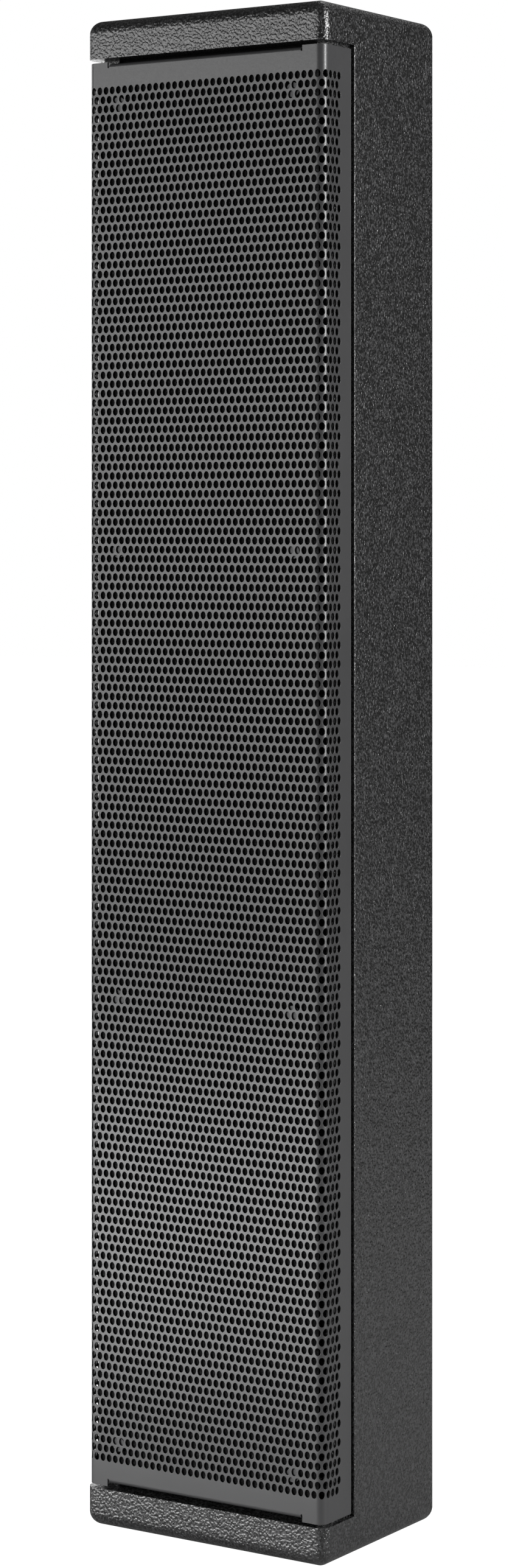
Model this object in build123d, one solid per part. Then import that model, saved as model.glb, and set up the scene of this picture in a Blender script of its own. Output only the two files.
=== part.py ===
from build123d import *
import math
import os

# Column line array loudspeaker, in millimetres.
#
# A tall box of coated plywood stands on its bottom panel. Its top and bottom panels run the full depth. Between
# them the two side panels are rebated at the front, and a perforated steel grille wraps round the front and into
# those rebates. Behind the grille lie a foam sheet, a baffle with a column of identical cone drivers, damping
# pads, a passive network and a rear input plate. The bottom panel holds a pole socket and the back panel holds
# the inserts for a wall bracket.
#
# Frame: +Z up, the front faces -Y, origin at the centre of the bottom face.

# ---- driving dimensions -------------------------------------------------------------------------------
CABINET_WIDTH = 178.0
CABINET_DEPTH = 132.5
CABINET_HEIGHT = 947.0
CAP_THICKNESS = 24.5          # top and bottom panels
CAP_EDGE_RADIUS = 8.5         # round-over along the outer edges of the top and bottom faces
CORNER_RADIUS = 6.5           # the four vertical corners
SIDE_THICKNESS = 15.0
BACK_THICKNESS = 12.0
BAFFLE_THICKNESS = 12.0

GRILLE_SHEET = 1.2
GRILLE_FRONT_RECESS = 0.8     # grille front behind the front faces of the caps
GRILLE_SIDE_RECESS = 1.3      # grille side return inside the cabinet's side face
GRILLE_TOP_GAP = 2.5          # between the top cap and the grille
GRILLE_BOTTOM_GAP = 1.8       # between the bottom cap and the grille, which rests a little low
GRILLE_BEND_RADIUS = 5.5      # outside radius of the two vertical bends
GRILLE_RETURN_DEPTH = 31.9    # from the grille's front to the rear edge of its side returns
FLANGE_HALF_WIDTH = 72.0      # end flanges stop short of the vertical bends
FLANGE_DROP = 2.3             # flanged ends lie this far inside the plain ends beside the bends
FLANGE_DEPTH = 8.0
FLANGE_BEND_RADIUS = 2.4
REBATE_CLEARANCE = 0.8        # side panel to the inside of the grille's return
REBATE_SHADOW_GAP = 1.7       # rear edge of the return to the rebate's shoulder
SHOULDER_RADIUS = 0.8         # outer corner of the shoulder

SIDE_FRONT_SETBACK = 15.5     # front edges of the side panels behind the cabinet's front
BAFFLE_SETBACK = 18.0         # baffle's front face behind the cabinet's front
FOAM_THICKNESS = 5.0
FOAM_HALF_WIDTH = 82.0
FOAM_END_MARGIN = 6.0

DRIVER_COUNT = 6
DRIVER_PITCH = 140.0

BRACE_THICKNESS = 15.0
PAD_THICKNESS = 8.0

PLATE_WIDTH = 110.0
PLATE_HEIGHT = 80.0
PLATE_SHEET = 1.5
PLATE_RECESS = 4.5
PLATE_CENTRE_Z = 230.0
SOCKET_SPACING = 46.0

INSERT_SPACING_X = 70.0
INSERT_SPACING_Z = 700.0
POLE_RADIUS = 18.0
POLE_DEPTH = 72.0
POLE_CENTRE_Y = 5.0

TOUCH = 0.05                  # clearance left where two separate pieces meet

# ---- derived places -----------------------------------------------------------------------------------
HALF_W = CABINET_WIDTH / 2
HALF_D = CABINET_DEPTH / 2
MID_Z = CABINET_HEIGHT / 2
OPEN_LOW = CAP_THICKNESS
OPEN_HIGH = CABINET_HEIGHT - CAP_THICKNESS
OPEN_HEIGHT = OPEN_HIGH - OPEN_LOW
INNER_HALF_W = HALF_W - SIDE_THICKNESS
BACK_INNER_Y = HALF_D - BACK_THICKNESS
BAFFLE_FRONT_Y = -HALF_D + BAFFLE_SETBACK
BAFFLE_BACK_Y = BAFFLE_FRONT_Y + BAFFLE_THICKNESS
GRILLE_FRONT_Y = -HALF_D + GRILLE_FRONT_RECESS
GRILLE_HALF_W = HALF_W - GRILLE_SIDE_RECESS
GRILLE_RETURN_Y = GRILLE_FRONT_Y + GRILLE_RETURN_DEPTH
GRILLE_LOW = OPEN_LOW + GRILLE_BOTTOM_GAP
GRILLE_HIGH = OPEN_HIGH - GRILLE_TOP_GAP
REBATE_HALF_W = GRILLE_HALF_W - GRILLE_SHEET - REBATE_CLEARANCE
REBATE_SHOULDER_Y = GRILLE_RETURN_Y + REBATE_SHADOW_GAP
DRIVER_Z = [MID_Z + DRIVER_PITCH * (n - (DRIVER_COUNT - 1) / 2) for n in range(DRIVER_COUNT)]
BRACE_Z = [(DRIVER_Z[1] + DRIVER_Z[2]) / 2, (DRIVER_Z[3] + DRIVER_Z[4]) / 2]


# ---- helpers ------------------------------------------------------------------------------------------
def block(x0, x1, y0, y1, z0, z1):
    """A box between two corners."""
    return Pos((x0 + x1) / 2, (y0 + y1) / 2, (z0 + z1) / 2) * Box(x1 - x0, y1 - y0, z1 - z0)


def rod_z(x, y, z0, z1, radius):
    """A cylinder along Z."""
    return Pos(x, y, (z0 + z1) / 2) * Cylinder(radius, z1 - z0)


def rod_x(x0, x1, y, z, radius):
    """A cylinder along X."""
    return Pos((x0 + x1) / 2, y, z) * Rot(0, 90, 0) * Cylinder(radius, x1 - x0)


def rod_y(x, z, y0, y1, radius):
    """A cylinder along Y."""
    return Pos(x, (y0 + y1) / 2, z) * Rot(90, 0, 0) * Cylinder(radius, y1 - y0)


def ring_y(x, z, y0, y1, inner, outer):
    """A plain ring along Y."""
    return rod_y(x, z, y0, y1, outer) - rod_y(x, z, y0 - 1, y1 + 1, inner)


def turned(points):
    """A solid of revolution about Z from a closed outline of (radius, height) points."""
    outline = Polyline(*[(r, 0, h) for r, h in points], close=True)
    return revolve(make_face(outline), axis=Axis.Z)


def facing_front(shape, z):
    """Places a driver piece, made about +Z with the baffle's front at height 0, on the baffle at height z."""
    return Pos(0, BAFFLE_FRONT_Y, z) * Rot(90, 0, 0) * shape


def pan_screw(head_radius, head_height, shank_radius, shank_length, drive=1.6):
    """A pan-head screw pointing down -Z with the underside of its head at height 0 and a hexagonal drive."""
    head = Pos(0, 0, head_height / 2) * Cylinder(head_radius, head_height)
    head = fillet(head.edges().filter_by(GeomType.CIRCLE).group_by(Axis.Z)[-1], head_height * 0.45)
    recess = Pos(0, 0, head_height * 0.45) * extrude(RegularPolygon(drive, 6), head_height)
    shank = Pos(0, 0, -shank_length / 2) * Cylinder(shank_radius, shank_length)
    return head - recess + shank


def union(shapes):
    """The pieces of one node as a compound of separate solids."""
    return Compound(children=[solid for shape in shapes for solid in shape.solids()])


def save(name, shape):
    export_step(shape, os.path.join("parts", f"{name}.step"))


# ---- cabinet ------------------------------------------------------------------------------------------
def cap_form(z0, z1, round_high):
    """One end panel with its outer edges rounded over on the outside face."""
    cap = block(-HALF_W, HALF_W, -HALF_D, HALF_D, z0, z1)
    cap = fillet(cap.edges().filter_by(Axis.Z), CORNER_RADIUS)
    outer = cap.faces().sort_by(Axis.Z)[-1 if round_high else 0]
    return fillet(outer.edges(), CAP_EDGE_RADIUS)


def top_panel():
    return cap_form(OPEN_HIGH, CABINET_HEIGHT, True)


POLE_FLANGE_RADIUS = 32.0
POLE_FLANGE = 2.5
POLE_WALL = 2.0
POLE_SCREW_CIRCLE = 26.5
SCREW_ANGLES = (45, 135, 225, 315)


def around(radius, angles):
    return [(radius * math.cos(math.radians(a)), radius * math.sin(math.radians(a))) for a in angles]


def bottom_panel():
    """The lower end panel, bored for the pole socket and rebated for its flange."""
    panel = cap_form(0, OPEN_LOW, False)
    panel -= rod_z(0, POLE_CENTRE_Y, -1, OPEN_LOW + 1, POLE_RADIUS + POLE_WALL + 0.3)
    panel -= rod_z(0, POLE_CENTRE_Y, -1, POLE_FLANGE + 0.5, POLE_FLANGE_RADIUS + 0.4)
    for x, y in around(POLE_SCREW_CIRCLE, SCREW_ANGLES):
        panel -= rod_z(x, y + POLE_CENTRE_Y, 0, 16.5, 2.0)
    return panel


def side_panel(sign):
    """A side panel between the caps, rebated outside at the front for the grille and rounded at the back corner."""
    outer, inner = sign * HALF_W, sign * INNER_HALF_W
    low_x, high_x = min(outer, inner), max(outer, inner)
    panel = block(low_x, high_x, -HALF_D + SIDE_FRONT_SETBACK, HALF_D, OPEN_LOW, OPEN_HIGH)
    upright = panel.edges().filter_by(Axis.Z).sort_by(lambda e: (e.center().Y, sign * e.center().X))[-1]
    panel = fillet(upright, CORNER_RADIUS)
    rebate_low, rebate_high = sorted((sign * REBATE_HALF_W, sign * (HALF_W + 1)))
    panel -= block(rebate_low, rebate_high, -HALF_D, REBATE_SHOULDER_Y, OPEN_LOW - 1, OPEN_HIGH + 1)
    shoulder = panel.edges().filter_by(Axis.Z).filter_by_position(Axis.Y, REBATE_SHOULDER_Y - 0.1,
                                                                  REBATE_SHOULDER_Y + 0.1)
    return fillet(shoulder.sort_by(lambda e: sign * e.center().X)[-1], SHOULDER_RADIUS)


INSERT_RADIUS = 5.0
PLATE_OPENING_W = 88.0
PLATE_OPENING_H = 58.0


def insert_places():
    return [(sx * INSERT_SPACING_X / 2, MID_Z + sz * INSERT_SPACING_Z / 2) for sx in (-1, 1) for sz in (-1, 1)]


def plate_screw_places():
    dx, dz = PLATE_WIDTH / 2 - 6.5, PLATE_HEIGHT / 2 - 6.5
    return [(sx * dx, PLATE_CENTRE_Z + sz * dz) for sx in (-1, 1) for sz in (-1, 0, 1)]


def back_panel():
    """The back between the sides, with the input plate's rebate and cut-out and the bracket inserts' bores."""
    panel = block(-INNER_HALF_W, INNER_HALF_W, BACK_INNER_Y, HALF_D, OPEN_LOW, OPEN_HIGH)
    half_w, half_h = PLATE_WIDTH / 2 + 0.5, PLATE_HEIGHT / 2 + 0.5
    seat_y = HALF_D - PLATE_RECESS - PLATE_SHEET
    panel -= block(-half_w, half_w, seat_y, HALF_D + 1, PLATE_CENTRE_Z - half_h, PLATE_CENTRE_Z + half_h)
    panel -= block(-PLATE_OPENING_W / 2, PLATE_OPENING_W / 2, BACK_INNER_Y - 1, HALF_D,
                   PLATE_CENTRE_Z - PLATE_OPENING_H / 2, PLATE_CENTRE_Z + PLATE_OPENING_H / 2)
    for x, z in plate_screw_places():
        panel -= rod_y(x, z, BACK_INNER_Y - 1, HALF_D, 1.7)
    for x, z in insert_places():
        panel -= rod_y(x, z, BACK_INNER_Y - 1, HALF_D + 1, INSERT_RADIUS + TOUCH)
    return panel


def bracket_insert(x, z):
    """A flanged M6 insert pushed through the back panel from inside."""
    sleeve = rod_y(x, z, BACK_INNER_Y - 2, HALF_D - 0.3, INSERT_RADIUS)
    sleeve += rod_y(x, z, BACK_INNER_Y - 2, BACK_INNER_Y - TOUCH, INSERT_RADIUS + 3.5)
    return sleeve - rod_y(x, z, BACK_INNER_Y - 3, HALF_D + 1, 2.5)


def brace(z):
    """A cross brace from the baffle to the back panel, with a wide window for air and wiring."""
    low, high = z - BRACE_THICKNESS / 2, z + BRACE_THICKNESS / 2
    board = block(-INNER_HALF_W, INNER_HALF_W, BAFFLE_BACK_Y, BACK_INNER_Y, low, high)
    window = block(-INNER_HALF_W + 18, INNER_HALF_W - 18, BAFFLE_BACK_Y + 16, BACK_INNER_Y - 14, low - 1, high + 1)
    return board - fillet(window.edges().filter_by(Axis.Z), 12)


def damping_pads():
    """Felt pads on the inside of each side panel, one in each bay between the braces."""
    edges = [OPEN_LOW + 12, *[z for b in BRACE_Z for z in (b - BRACE_THICKNESS / 2, b + BRACE_THICKNESS / 2)]]
    edges.append(OPEN_HIGH - 12)
    pads = []
    for low, high in zip(edges[::2], edges[1::2]):
        for sign in (-1, 1):
            x0, x1 = sorted((sign * (INNER_HALF_W - TOUCH), sign * (INNER_HALF_W - PAD_THICKNESS)))
            pads.append(block(x0, x1, BAFFLE_BACK_Y + 4, BACK_INNER_Y - 4, low + 3, high - 3))
    return union(pads)


# ---- grille -------------------------------------------------------------------------------------------
def front_end_edge(shape, up):
    """The long edge at a strip's front, at its upper end when up is 1 and its lower end when up is -1."""
    return shape.edges().filter_by(Axis.X).sort_by(lambda e: up * e.center().Z - e.center().Y)[-1]


def grille():
    """The wrapped grille sheet with its two end flanges. Its perforation is left out of this solid."""
    side_flat = GRILLE_RETURN_DEPTH - GRILLE_BEND_RADIUS
    outer = block(-GRILLE_HALF_W, GRILLE_HALF_W, GRILLE_FRONT_Y, GRILLE_RETURN_Y, GRILLE_LOW, GRILLE_HIGH)
    front = outer.edges().filter_by(Axis.Z).group_by(Axis.Y)[0]
    outer = fillet(front, GRILLE_BEND_RADIUS)
    inner = block(-GRILLE_HALF_W + GRILLE_SHEET, GRILLE_HALF_W - GRILLE_SHEET, GRILLE_FRONT_Y + GRILLE_SHEET,
                  GRILLE_RETURN_Y + side_flat, GRILLE_LOW - 1, GRILLE_HIGH + 1)
    inner = fillet(inner.edges().filter_by(Axis.Z).group_by(Axis.Y)[0], GRILLE_BEND_RADIUS - GRILLE_SHEET)
    sheet = outer - inner
    back_y = GRILLE_FRONT_Y + FLANGE_DEPTH
    for edge, up in ((GRILLE_HIGH, 1), (GRILLE_LOW, -1)):
        end = edge - up * FLANGE_DROP
        far = end - up * (FLANGE_BEND_RADIUS + 1)
        strip = block(-FLANGE_HALF_WIDTH, FLANGE_HALF_WIDTH, GRILLE_FRONT_Y, back_y, *sorted((end, far)))
        strip = fillet(front_end_edge(strip, up), FLANGE_BEND_RADIUS)
        hollow = block(-FLANGE_HALF_WIDTH - 1, FLANGE_HALF_WIDTH + 1, GRILLE_FRONT_Y + GRILLE_SHEET, back_y + 1,
                       *sorted((end - up * GRILLE_SHEET, far - up)))
        hollow = fillet(front_end_edge(hollow, up), FLANGE_BEND_RADIUS - GRILLE_SHEET)
        clear = block(-FLANGE_HALF_WIDTH, FLANGE_HALF_WIDTH, GRILLE_FRONT_Y - 1, back_y + 1,
                      *sorted((edge + up, far)))
        sheet = sheet - clear + (strip - hollow)
    return sheet


PEG_X = 65.0
PEG_Z = [MID_Z + DRIVER_PITCH * k for k in (-3, -1, 1, 3)]
CUP_RADIUS = 5.0


def peg_places():
    return [(sx * PEG_X, z) for sx in (-1, 1) for z in PEG_Z]


def grille_peg(x, z):
    """A plastic peg bonded to the back of the grille, with a ball end that snaps into its cup."""
    foot = rod_y(x, z, GRILLE_FRONT_Y + GRILLE_SHEET + TOUCH, GRILLE_FRONT_Y + GRILLE_SHEET + 2, 4.5)
    stem = rod_y(x, z, GRILLE_FRONT_Y + GRILLE_SHEET + 1, BAFFLE_FRONT_Y + 3, 2.0)
    ball = Pos(x, BAFFLE_FRONT_Y + 4, z) * Sphere(2.7)
    return foot + stem + ball


def peg_cup(x, z):
    """A rubber cup pressed into the baffle's front that grips one peg."""
    cup = rod_y(x, z, BAFFLE_FRONT_Y - 1.2, BAFFLE_FRONT_Y + 9, CUP_RADIUS)
    cup += rod_y(x, z, BAFFLE_FRONT_Y - 1.2, BAFFLE_FRONT_Y - TOUCH, CUP_RADIUS + 1.5)
    return cup - rod_y(x, z, BAFFLE_FRONT_Y - 2, BAFFLE_FRONT_Y + 7.5, 2.8)


def grille_foam():
    """The open-cell foam sheet behind the grille, pierced for the pegs and cut short of the end flanges."""
    front = GRILLE_FRONT_Y + GRILLE_SHEET + TOUCH
    low, high = GRILLE_LOW + FOAM_END_MARGIN, GRILLE_HIGH - FOAM_END_MARGIN
    foam = block(-FOAM_HALF_WIDTH, FOAM_HALF_WIDTH, front, front + FOAM_THICKNESS, low, high)
    for x, z in peg_places():
        foam -= rod_y(x, z, front - 1, front + FOAM_THICKNESS + 1, 5.0)
    return foam


# ---- drivers ------------------------------------------------------------------------------------------
# Every driver piece is turned about +Z: height 0 is the baffle's front face and +Z points at the listener.
CUTOUT_RADIUS = 58.0
FLANGE_RADIUS = 65.0
FLANGE_LOW, FLANGE_HIGH = 1.0, 2.5
SCREW_CIRCLE = 61.2
BASKET_RADIUS = 57.2
SHELF_HEIGHT = -30.2
MOTOR_TOP = -40.0
TOP_PLATE, MAGNET, BACK_PLATE = 6.0, 16.0, 6.0
POLE_PIECE_RADIUS = 12.0
COIL_INNER, COIL_OUTER, WINDING_OUTER = 12.6, 12.9, 13.3
GAP_RADIUS = 13.8
CONE_EDGE, CONE_NECK_HEIGHT, CONE_WALL = 47.5, -21.0, 0.8
CONE_LIP_OUTER, CONE_LIP_HEIGHT = 50.3, -4.0
ROLL_INNER, ROLL_OUTER, ROLL_SKIN = 50.0, 56.0, 0.6
SPIDER_NECK_HEIGHT, SPIDER_SKIN = -23.6, 0.5
TERMINAL_HEIGHT = -35.6
TAG_OFFSETS = (-5.0, 5.0)
TAG_END = 42.8


def driver_gasket():
    ring = Pos(0, 0, FLANGE_LOW / 2) * (Cylinder(FLANGE_RADIUS - 0.5, FLANGE_LOW - 2 * TOUCH)
                                        - Cylinder(CUTOUT_RADIUS + 0.2, FLANGE_LOW + 1))
    for x, y in around(SCREW_CIRCLE, SCREW_ANGLES):
        ring -= rod_z(x, y, -1, FLANGE_LOW + 1, 2.3)
    return ring


def driver_basket():
    """The pressed steel frame: flange, windowed wall, spider shelf and motor seat."""
    wall = 1.2
    seat, shelf_outer, lower = MOTOR_TOP + TOUCH, 41.0, 36.0
    profile = [
        (54, FLANGE_LOW), (54, FLANGE_HIGH), (FLANGE_RADIUS, FLANGE_HIGH), (FLANGE_RADIUS, FLANGE_LOW),
        (BASKET_RADIUS, FLANGE_LOW), (BASKET_RADIUS, -6), (shelf_outer, SHELF_HEIGHT - wall),
        (lower, SHELF_HEIGHT - wall), (lower, seat), (17, seat), (17, seat + wall), (lower - wall, seat + wall),
        (lower - wall, SHELF_HEIGHT), (shelf_outer - 0.6, SHELF_HEIGHT), (BASKET_RADIUS - wall, -5.6),
        (BASKET_RADIUS - wall, FLANGE_LOW),
    ]
    basket = turned(profile)
    for angle in range(0, 360, 60):
        basket -= Rot(0, 0, angle) * Pos(49, 0, -17.5) * Box(26, 24, 15)
    for x, y in around(SCREW_CIRCLE, SCREW_ANGLES):
        basket -= rod_z(x, y, 0, FLANGE_HIGH + 1, 2.3)
    return basket


def magnet_assembly():
    """Top plate, ring magnet and back plate with its pole, as three solids."""
    top = turned([(GAP_RADIUS, MOTOR_TOP), (36, MOTOR_TOP), (36, MOTOR_TOP - TOP_PLATE),
                  (GAP_RADIUS, MOTOR_TOP - TOP_PLATE)])
    magnet_high = MOTOR_TOP - TOP_PLATE - TOUCH
    magnet_low = magnet_high - MAGNET
    magnet = turned([(19, magnet_high), (40, magnet_high), (40, magnet_low), (19, magnet_low)])
    plate_high = magnet_low - TOUCH
    back = turned([(0, MOTOR_TOP), (POLE_PIECE_RADIUS, MOTOR_TOP), (POLE_PIECE_RADIUS, plate_high),
                   (36, plate_high), (36, plate_high - BACK_PLATE + 1.5), (34.5, plate_high - BACK_PLATE),
                   (0, plate_high - BACK_PLATE)])
    return union([top, magnet, back])


def cone_front(radius):
    """Height of the cone's front surface at a radius, on its straight flare."""
    share = (radius - COIL_OUTER) / (CONE_EDGE - COIL_OUTER)
    return CONE_NECK_HEIGHT + share * (CONE_LIP_HEIGHT + CONE_WALL - CONE_NECK_HEIGHT)


def driver_cone():
    """The paper cone with its glued lip, and the dust cap as a second solid."""
    lip_high = CONE_LIP_HEIGHT + CONE_WALL
    neck = COIL_OUTER + TOUCH
    cone = turned([(neck, cone_front(neck)), (CONE_EDGE, lip_high), (CONE_LIP_OUTER, lip_high),
                   (CONE_LIP_OUTER, CONE_LIP_HEIGHT), (CONE_EDGE + 0.5, CONE_LIP_HEIGHT),
                   (neck, cone_front(neck) - CONE_WALL * 1.3)])
    rim, rise, skin = 17.5, 6.0, 0.7
    base = cone_front(rim) + TOUCH
    ball = (rim**2 + rise**2) / (2 * rise)
    centre = base + rise - ball
    dome = Pos(0, 0, centre) * Sphere(ball) - Pos(0, 0, centre) * Sphere(ball - skin)
    cap = dome & (Pos(0, 0, base + rise) * Cylinder(rim + 5, 2 * rise))
    return union([cone, cap])


def voice_coil():
    """The coil former and its winding, turned as one solid, hanging from the cone's neck into the gap."""
    former_low, winding_low, winding_high = -54.0, -49.0, -37.0
    top = CONE_NECK_HEIGHT + 1
    return turned([(COIL_INNER, former_low), (COIL_OUTER, former_low), (COIL_OUTER, winding_low),
                   (WINDING_OUTER, winding_low), (WINDING_OUTER, winding_high), (COIL_OUTER, winding_high),
                   (COIL_OUTER, top), (COIL_INNER, top)])


def surround():
    """The roll between the cone's lip and the basket's flange, with its inner leg longer than its outer one."""
    inner_base = CONE_LIP_HEIGHT + CONE_WALL + TOUCH
    outer_base = FLANGE_HIGH + TOUCH
    foot, springing = CONE_EDGE + 0.3, outer_base + ROLL_SKIN
    middle, radius = (ROLL_INNER + ROLL_OUTER) / 2, (ROLL_OUTER - ROLL_INNER) / 2
    inner_leg = Polyline((ROLL_INNER + ROLL_SKIN, springing), (ROLL_INNER + ROLL_SKIN, inner_base),
                         (foot, inner_base), (foot, inner_base + ROLL_SKIN), (ROLL_INNER, inner_base + ROLL_SKIN),
                         (ROLL_INNER, springing))
    crown = ThreePointArc((ROLL_INNER, springing), (middle, springing + radius), (ROLL_OUTER, springing))
    outer_lip = Polyline((ROLL_OUTER, springing), (BASKET_RADIUS, springing), (BASKET_RADIUS, outer_base),
                         (ROLL_OUTER - ROLL_SKIN, outer_base), (ROLL_OUTER - ROLL_SKIN, springing))
    under = ThreePointArc((ROLL_OUTER - ROLL_SKIN, springing), (middle, springing + radius - ROLL_SKIN),
                          (ROLL_INNER + ROLL_SKIN, springing))
    profile = make_face([*inner_leg.edges(), crown, *outer_lip.edges(), under])
    return revolve(Rot(90, 0, 0) * profile, axis=Axis.Z)


def spider():
    """The corrugated, slightly coned centring disc between the coil former and the basket's shelf."""
    inner, flat, outer, waves, depth = COIL_OUTER + TOUCH, 35.6, 39.0, 4, 0.9
    base = SHELF_HEIGHT + TOUCH
    steps = 8 * waves
    line = []
    for k in range(steps + 1):
        share = k / steps
        ripple = depth * math.sin(2 * math.pi * waves * share) * min(1, 4 * (1 - share))
        height = SPIDER_NECK_HEIGHT + share * (base - SPIDER_NECK_HEIGHT) + ripple
        line.append((inner + share * (flat - inner), height))
    line = line[:-1] + [(flat, base), (outer, base)]
    return turned(line + [(r, h + SPIDER_SKIN) for r, h in reversed(line)])


def driver_terminal():
    """The tag strip that stands beside the basket's lower wall, on the loom's side."""
    strip = Pos(-37.3, 0, TERMINAL_HEIGHT) * Box(2.4, 18, 7)
    for offset in TAG_OFFSETS:
        strip += Pos(-TAG_END + 2.4, offset, TERMINAL_HEIGHT) * Box(4.8, 4.8, 0.8)
    return strip


# ---- rear input plate ---------------------------------------------------------------------------------
SOCKET_W, SOCKET_H, SOCKET_FLANGE = 26.0, 31.0, 2.0
SOCKET_RADIUS = 11.8
SOCKET_TAG_OFFSET, SOCKET_TAG_DEPTH = 5.0, 24.5
PLATE_FACE_Y = HALF_D - PLATE_RECESS


def socket_places():
    return {"left": -SOCKET_SPACING / 2, "right": SOCKET_SPACING / 2}


def socket_screw_places(x):
    return [(x - 9.5, PLATE_CENTRE_Z + 12), (x + 9.5, PLATE_CENTRE_Z - 12)]


def input_plate():
    plate = block(-PLATE_WIDTH / 2, PLATE_WIDTH / 2, PLATE_FACE_Y - PLATE_SHEET + TOUCH, PLATE_FACE_Y,
                  PLATE_CENTRE_Z - PLATE_HEIGHT / 2, PLATE_CENTRE_Z + PLATE_HEIGHT / 2)
    plate = fillet(plate.edges().filter_by(Axis.Y), 4)
    for x, z in plate_screw_places():
        plate -= rod_y(x, z, PLATE_FACE_Y - 3, PLATE_FACE_Y + 1, 2.0)
    for x in socket_places().values():
        plate -= rod_y(x, PLATE_CENTRE_Z, PLATE_FACE_Y - 3, PLATE_FACE_Y + 1, SOCKET_RADIUS + 0.2)
        for sx, sz in socket_screw_places(x):
            plate -= rod_y(sx, sz, PLATE_FACE_Y - 3, PLATE_FACE_Y + 1, 1.7)
    return plate


def input_socket(x):
    """A four-pole twist-lock chassis socket: flange, barrel, annular slot with a keyed core, and rear tags."""
    z = PLATE_CENTRE_Z
    front = PLATE_FACE_Y + TOUCH
    flange = block(x - SOCKET_W / 2, x + SOCKET_W / 2, front, front + SOCKET_FLANGE, z - SOCKET_H / 2,
                   z + SOCKET_H / 2)
    flange = fillet(flange.edges().filter_by(Axis.Y), 3)
    body = flange + rod_y(x, z, front - 22, front + 1, SOCKET_RADIUS)
    slot_inner, slot_outer = 6.8, 10.4
    body -= ring_y(x, z, front - 16, front + 5, slot_inner, slot_outer)
    body -= rod_y(x, z, front - 6, front + 5, 1.9)
    for angle in (40, 220):
        key = Pos(x, front - 7, z) * Rot(0, angle, 0) * Pos(slot_outer + 0.2, 0, 0) * Box(1.4, 20, 3.2)
        body -= key
    for sx, sz in socket_screw_places(x):
        body -= rod_y(sx, sz, front - 3, front + 5, 1.7)
    for sx in (-1, 1):
        for sz in (-1, 1):
            tag = Pos(x + sx * SOCKET_TAG_OFFSET, front - SOCKET_TAG_DEPTH, z + sz * SOCKET_TAG_OFFSET)
            body += tag * Box(0.8, 7, 4.8)
    return body


# ---- passive network ----------------------------------------------------------------------------------
BOARD_W, BOARD_H, BOARD_T = 96.0, 110.0, 1.6
BOARD_CENTRE_Z = MID_Z
STANDOFF = 6.0
BOARD_BACK_Y = BACK_INNER_Y - STANDOFF
BOARD_FRONT_Y = BOARD_BACK_Y - BOARD_T


def board_corners():
    dx, dz = BOARD_W / 2 - 5, BOARD_H / 2 - 5
    return [(sx * dx, BOARD_CENTRE_Z + sz * dz) for sx in (-1, 1) for sz in (-1, 1)]


def crossover_board():
    board = block(-BOARD_W / 2, BOARD_W / 2, BOARD_FRONT_Y, BOARD_BACK_Y - TOUCH, BOARD_CENTRE_Z - BOARD_H / 2,
                  BOARD_CENTRE_Z + BOARD_H / 2)
    for x, z in board_corners():
        board -= rod_y(x, z, BOARD_FRONT_Y - 1, BOARD_BACK_Y + 1, 1.6)
    return board


def crossover_standoffs():
    posts = []
    for x, z in board_corners():
        post = rod_y(x, z, BOARD_BACK_Y, BACK_INNER_Y - TOUCH, 3.2)
        post += rod_y(x, z, BOARD_FRONT_Y - TOUCH, BOARD_BACK_Y, 1.5)
        posts.append(post + rod_y(x, z, BOARD_FRONT_Y - 2.2, BOARD_FRONT_Y - TOUCH, 2.8))
    return union(posts)


def crossover_inductors():
    """Two air-cored coils lying on the board."""
    face = BOARD_FRONT_Y - TOUCH
    return union([ring_y(-22, BOARD_CENTRE_Z + 30, face - 14, face, 7, 17),
                  ring_y(22, BOARD_CENTRE_Z - 30, face - 14, face, 7, 17)])


def crossover_capacitors():
    """Three film capacitors lying along the board."""
    cans = []
    for z in (BOARD_CENTRE_Z + 42, BOARD_CENTRE_Z + 26, BOARD_CENTRE_Z + 10):
        can = Pos(24, BOARD_FRONT_Y - 7.1, z) * Rot(0, 90, 0) * Cylinder(7, 34)
        cans.append(fillet(can.edges().filter_by(GeomType.CIRCLE), 1))
    return union(cans)


def crossover_resistors():
    """Two cement resistors side by side."""
    face = BOARD_FRONT_Y - TOUCH
    return union([block(-40, -6, face - 9, face, BOARD_CENTRE_Z + z, BOARD_CENTRE_Z + z + 10) for z in (-24, -42)])


LOOM_RADIUS, LEAD_RADIUS = 2.5, 1.3
LOOM_X, LOOM_Y = -48.0, 31.0


def wiring_loom():
    """The sleeved loom up the left of the back panel, its leads to the driver tags, and the input leads."""
    trunk = rod_z(LOOM_X, LOOM_Y, DRIVER_Z[0] - 12, DRIVER_Z[-1] + 12, LOOM_RADIUS)
    lead_x = -TAG_END - LEAD_RADIUS - 0.1
    tag_y = BAFFLE_FRONT_Y - TERMINAL_HEIGHT
    for z in DRIVER_Z:
        for offset in TAG_OFFSETS:
            trunk += rod_y(lead_x, z + offset, tag_y - 2, LOOM_Y, LEAD_RADIUS)
    trunk += rod_y(LOOM_X + 1.5, BOARD_CENTRE_Z, LOOM_Y, BOARD_FRONT_Y - TOUCH, LEAD_RADIUS)
    tag_x = SOCKET_SPACING / 2 + SOCKET_TAG_OFFSET + 0.5
    tag_centre_y = PLATE_FACE_Y - SOCKET_TAG_DEPTH
    jumpers = []
    for dz in (-SOCKET_TAG_OFFSET, SOCKET_TAG_OFFSET):
        z = PLATE_CENTRE_Z + dz
        trunk += rod_x(LOOM_X, -tag_x, LOOM_Y, z, LEAD_RADIUS)
        inner = SOCKET_SPACING / 2 - SOCKET_TAG_OFFSET - 0.5
        jumpers.append(rod_x(-inner, inner, tag_centre_y, z, LEAD_RADIUS))
    return union([trunk, *jumpers])


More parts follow.
